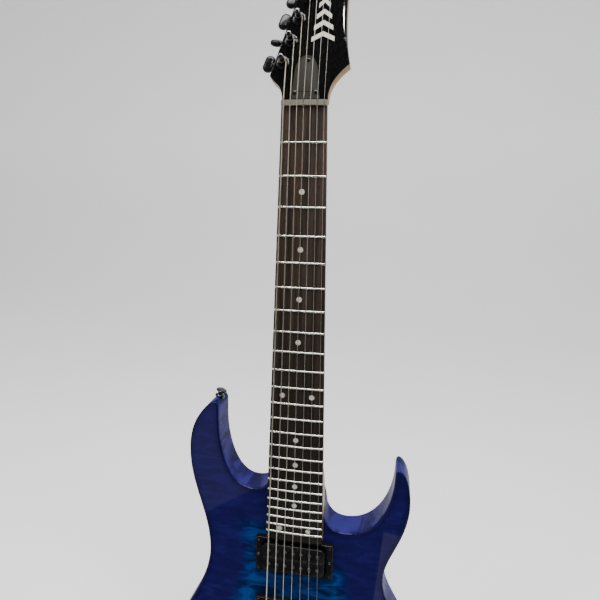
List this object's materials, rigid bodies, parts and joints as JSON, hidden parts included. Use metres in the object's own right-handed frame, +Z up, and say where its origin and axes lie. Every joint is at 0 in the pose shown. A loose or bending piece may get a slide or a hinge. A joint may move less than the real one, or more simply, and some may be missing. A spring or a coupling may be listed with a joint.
{
  "type": "electric guitar",
  "caption": "Solid-body electric guitar with a bolt-on neck, seven strings, in-line tuners, two humbucking pickups and a fixed bridge.",
  "frame": {"origin": "on the centre line behind the nut, on the back of the neck, where a stand's yoke holds the guitar", "axes": "+Z up the neck towards the headstock, -Y out of the front, +X towards the treble side"},
  "size_m": [0.32, 0.0819, 0.9852],
  "materials": {
    "lacquer_blue": "high gloss lacquer over stained wood",
    "maple": "satin",
    "fingerboard_wood": "oiled, open grain",
    "nut_plastic": "satin",
    "cover_plastic": "satin",
    "black_plastic": "moulded, semi-gloss",
    "black_metal": "black plated, gloss",
    "dark_chrome": "smoked chrome",
    "string_steel": "drawn and wound steel",
    "inner_steel": "plain steel"
  },
  "bodies": {
    "guitar": {"body": "lacquer_blue", "control_cavity_cover": "black_plastic", "neck_plate": "black_metal", "strap_button_upper": "black_metal", "strap_button_lower": "black_metal", "neck": "maple", "fingerboard": "fingerboard_wood", "nut": "nut_plastic", "truss_rod": "inner_steel", "truss_rod_cover": "cover_plastic", "bridge_plate": "black_metal", "neck_pickup_ring": "black_plastic", "bridge_pickup_ring": "black_plastic", "volume_pot": "inner_steel", "tone_pot": "inner_steel", "selector_switch": "inner_steel", "output_jack": "black_metal", "string_1": "string_steel", "string_2": "string_steel", "string_3": "string_steel", "string_4": "string_steel", "string_5": "string_steel", "string_6": "string_steel", "string_7": "string_steel", "tuner_housing_1": "black_metal", "tuner_housing_2": "black_metal", "tuner_housing_3": "black_metal", "tuner_housing_4": "black_metal", "tuner_housing_5": "black_metal", "tuner_housing_6": "black_metal", "tuner_housing_7": "black_metal"},
    "truss_rod_nut": {"truss_rod_nut": "inner_steel"},
    "tuner_button_1": {"tuner_button_1": "black_plastic"},
    "tuner_post_1": {"tuner_post_1": "dark_chrome"},
    "tuner_button_2": {"tuner_button_2": "black_plastic"},
    "tuner_post_2": {"tuner_post_2": "dark_chrome"},
    "tuner_button_3": {"tuner_button_3": "black_plastic"},
    "tuner_post_3": {"tuner_post_3": "dark_chrome"},
    "tuner_button_4": {"tuner_button_4": "black_plastic"},
    "tuner_post_4": {"tuner_post_4": "dark_chrome"},
    "tuner_button_5": {"tuner_button_5": "black_plastic"},
    "tuner_post_5": {"tuner_post_5": "dark_chrome"},
    "tuner_button_6": {"tuner_button_6": "black_plastic"},
    "tuner_post_6": {"tuner_post_6": "dark_chrome"},
    "tuner_button_7": {"tuner_button_7": "black_plastic"},
    "tuner_post_7": {"tuner_post_7": "dark_chrome"},
    "saddle_1": {"saddle_1": "black_metal"},
    "saddle_2": {"saddle_2": "black_metal"},
    "saddle_3": {"saddle_3": "black_metal"},
    "saddle_4": {"saddle_4": "black_metal"},
    "saddle_5": {"saddle_5": "black_metal"},
    "saddle_6": {"saddle_6": "black_metal"},
    "saddle_7": {"saddle_7": "black_metal"},
    "neck_pickup": {"neck_pickup": "black_plastic"},
    "bridge_pickup": {"bridge_pickup": "black_plastic"},
    "volume_control": {"volume_knob": "black_metal", "volume_shaft": "inner_steel"},
    "tone_control": {"tone_knob": "black_metal", "tone_shaft": "inner_steel"},
    "selector_lever": {"selector_lever": "black_plastic"}
  },
  "joints": [
    {"name": "truss_rod_nut_turn", "type": "hinge", "parent": "guitar", "child": "truss_rod_nut", "pos_m": [0, -0.008, 0.0133], "axis": [0, 0, 1], "range_deg": [-180, 180]},
    {"name": "tuner_button_1_turn", "type": "hinge", "parent": "guitar", "child": "tuner_button_1", "pos_m": [-0.00251, 0.04564, 0.18737], "axis": [-0.9563, 0.0658, 0.2849], "continuous": true},
    {"name": "tuner_post_1_turn", "type": "hinge", "parent": "guitar", "child": "tuner_post_1", "pos_m": [0.01765, 0.02474, 0.18265], "axis": [0, -0.9744, 0.225], "continuous": true},
    {"name": "tuner_button_2_turn", "type": "hinge", "parent": "guitar", "child": "tuner_button_2", "pos_m": [-0.0097, 0.04035, 0.16445], "axis": [-0.9563, 0.0658, 0.2849], "continuous": true},
    {"name": "tuner_post_2_turn", "type": "hinge", "parent": "guitar", "child": "tuner_post_2", "pos_m": [0.01046, 0.01945, 0.15973], "axis": [0, -0.9744, 0.225], "continuous": true},
    {"name": "tuner_button_3_turn", "type": "hinge", "parent": "guitar", "child": "tuner_button_3", "pos_m": [-0.01689, 0.03506, 0.14153], "axis": [-0.9563, 0.0658, 0.2849], "continuous": true},
    {"name": "tuner_post_3_turn", "type": "hinge", "parent": "guitar", "child": "tuner_post_3", "pos_m": [0.00327, 0.01416, 0.13681], "axis": [0, -0.9744, 0.225], "continuous": true},
    {"name": "tuner_button_4_turn", "type": "hinge", "parent": "guitar", "child": "tuner_button_4", "pos_m": [-0.02408, 0.02977, 0.11861], "axis": [-0.9563, 0.0658, 0.2849], "continuous": true},
    {"name": "tuner_post_4_turn", "type": "hinge", "parent": "guitar", "child": "tuner_post_4", "pos_m": [-0.00392, 0.00887, 0.11389], "axis": [0, -0.9744, 0.225], "continuous": true},
    {"name": "tuner_button_5_turn", "type": "hinge", "parent": "guitar", "child": "tuner_button_5", "pos_m": [-0.03128, 0.02448, 0.09568], "axis": [-0.9563, 0.0658, 0.2849], "continuous": true},
    {"name": "tuner_post_5_turn", "type": "hinge", "parent": "guitar", "child": "tuner_post_5", "pos_m": [-0.01111, 0.00358, 0.09096], "axis": [0, -0.9744, 0.225], "continuous": true},
    {"name": "tuner_button_6_turn", "type": "hinge", "parent": "guitar", "child": "tuner_button_6", "pos_m": [-0.03847, 0.01918, 0.07276], "axis": [-0.9563, 0.0658, 0.2849], "continuous": true},
    {"name": "tuner_post_6_turn", "type": "hinge", "parent": "guitar", "child": "tuner_post_6", "pos_m": [-0.01831, -0.00171, 0.06804], "axis": [0, -0.9744, 0.225], "continuous": true},
    {"name": "tuner_button_7_turn", "type": "hinge", "parent": "guitar", "child": "tuner_button_7", "pos_m": [-0.04566, 0.01389, 0.04984], "axis": [-0.9563, 0.0658, 0.2849], "continuous": true},
    {"name": "tuner_post_7_turn", "type": "hinge", "parent": "guitar", "child": "tuner_post_7", "pos_m": [-0.0255, -0.00701, 0.04512], "axis": [0, -0.9744, 0.225], "continuous": true},
    {"name": "saddle_1_slide", "type": "slide", "parent": "guitar", "child": "saddle_1", "axis": [0, 0, 1], "range_m": [-0.002, 0.002]},
    {"name": "saddle_2_slide", "type": "slide", "parent": "guitar", "child": "saddle_2", "axis": [0, 0, 1], "range_m": [-0.002, 0.002]},
    {"name": "saddle_3_slide", "type": "slide", "parent": "guitar", "child": "saddle_3", "axis": [0, 0, 1], "range_m": [-0.002, 0.002]},
    {"name": "saddle_4_slide", "type": "slide", "parent": "guitar", "child": "saddle_4", "axis": [0, 0, 1], "range_m": [-0.002, 0.002]},
    {"name": "saddle_5_slide", "type": "slide", "parent": "guitar", "child": "saddle_5", "axis": [0, 0, 1], "range_m": [-0.002, 0.002]},
    {"name": "saddle_6_slide", "type": "slide", "parent": "guitar", "child": "saddle_6", "axis": [0, 0, 1], "range_m": [-0.002, 0.002]},
    {"name": "saddle_7_slide", "type": "slide", "parent": "guitar", "child": "saddle_7", "axis": [0, 0, 1], "range_m": [-0.002, 0.002]},
    {"name": "neck_pickup_height", "type": "slide", "parent": "guitar", "child": "neck_pickup", "axis": [0, -1, 0], "range_m": [-0.003, 0.001]},
    {"name": "bridge_pickup_height", "type": "slide", "parent": "guitar", "child": "bridge_pickup", "axis": [0, -1, 0], "range_m": [-0.003, 0.001]},
    {"name": "volume_turn", "type": "hinge", "parent": "guitar", "child": "volume_control", "pos_m": [0.076, -0.01, -0.656], "axis": [0, -1, 0], "range_deg": [0, 270]},
    {"name": "tone_turn", "type": "hinge", "parent": "guitar", "child": "tone_control", "pos_m": [0.092, -0.01, -0.708], "axis": [0, -1, 0], "range_deg": [0, 270]},
    {"name": "selector_swing", "type": "hinge", "parent": "guitar", "child": "selector_lever", "pos_m": [0.112, 0.002, -0.664], "axis": [0.9397, 0, 0.342], "range_deg": [-22, 22]}
  ],
  "couplings": [
    {"joint": "tuner_post_1_turn", "follows": "tuner_button_1_turn", "ratio": 0.071429},
    {"joint": "tuner_post_2_turn", "follows": "tuner_button_2_turn", "ratio": 0.071429},
    {"joint": "tuner_post_3_turn", "follows": "tuner_button_3_turn", "ratio": 0.071429},
    {"joint": "tuner_post_4_turn", "follows": "tuner_button_4_turn", "ratio": 0.071429},
    {"joint": "tuner_post_5_turn", "follows": "tuner_button_5_turn", "ratio": 0.071429},
    {"joint": "tuner_post_6_turn", "follows": "tuner_button_6_turn", "ratio": 0.071429},
    {"joint": "tuner_post_7_turn", "follows": "tuner_button_7_turn", "ratio": 0.071429}
  ]
}
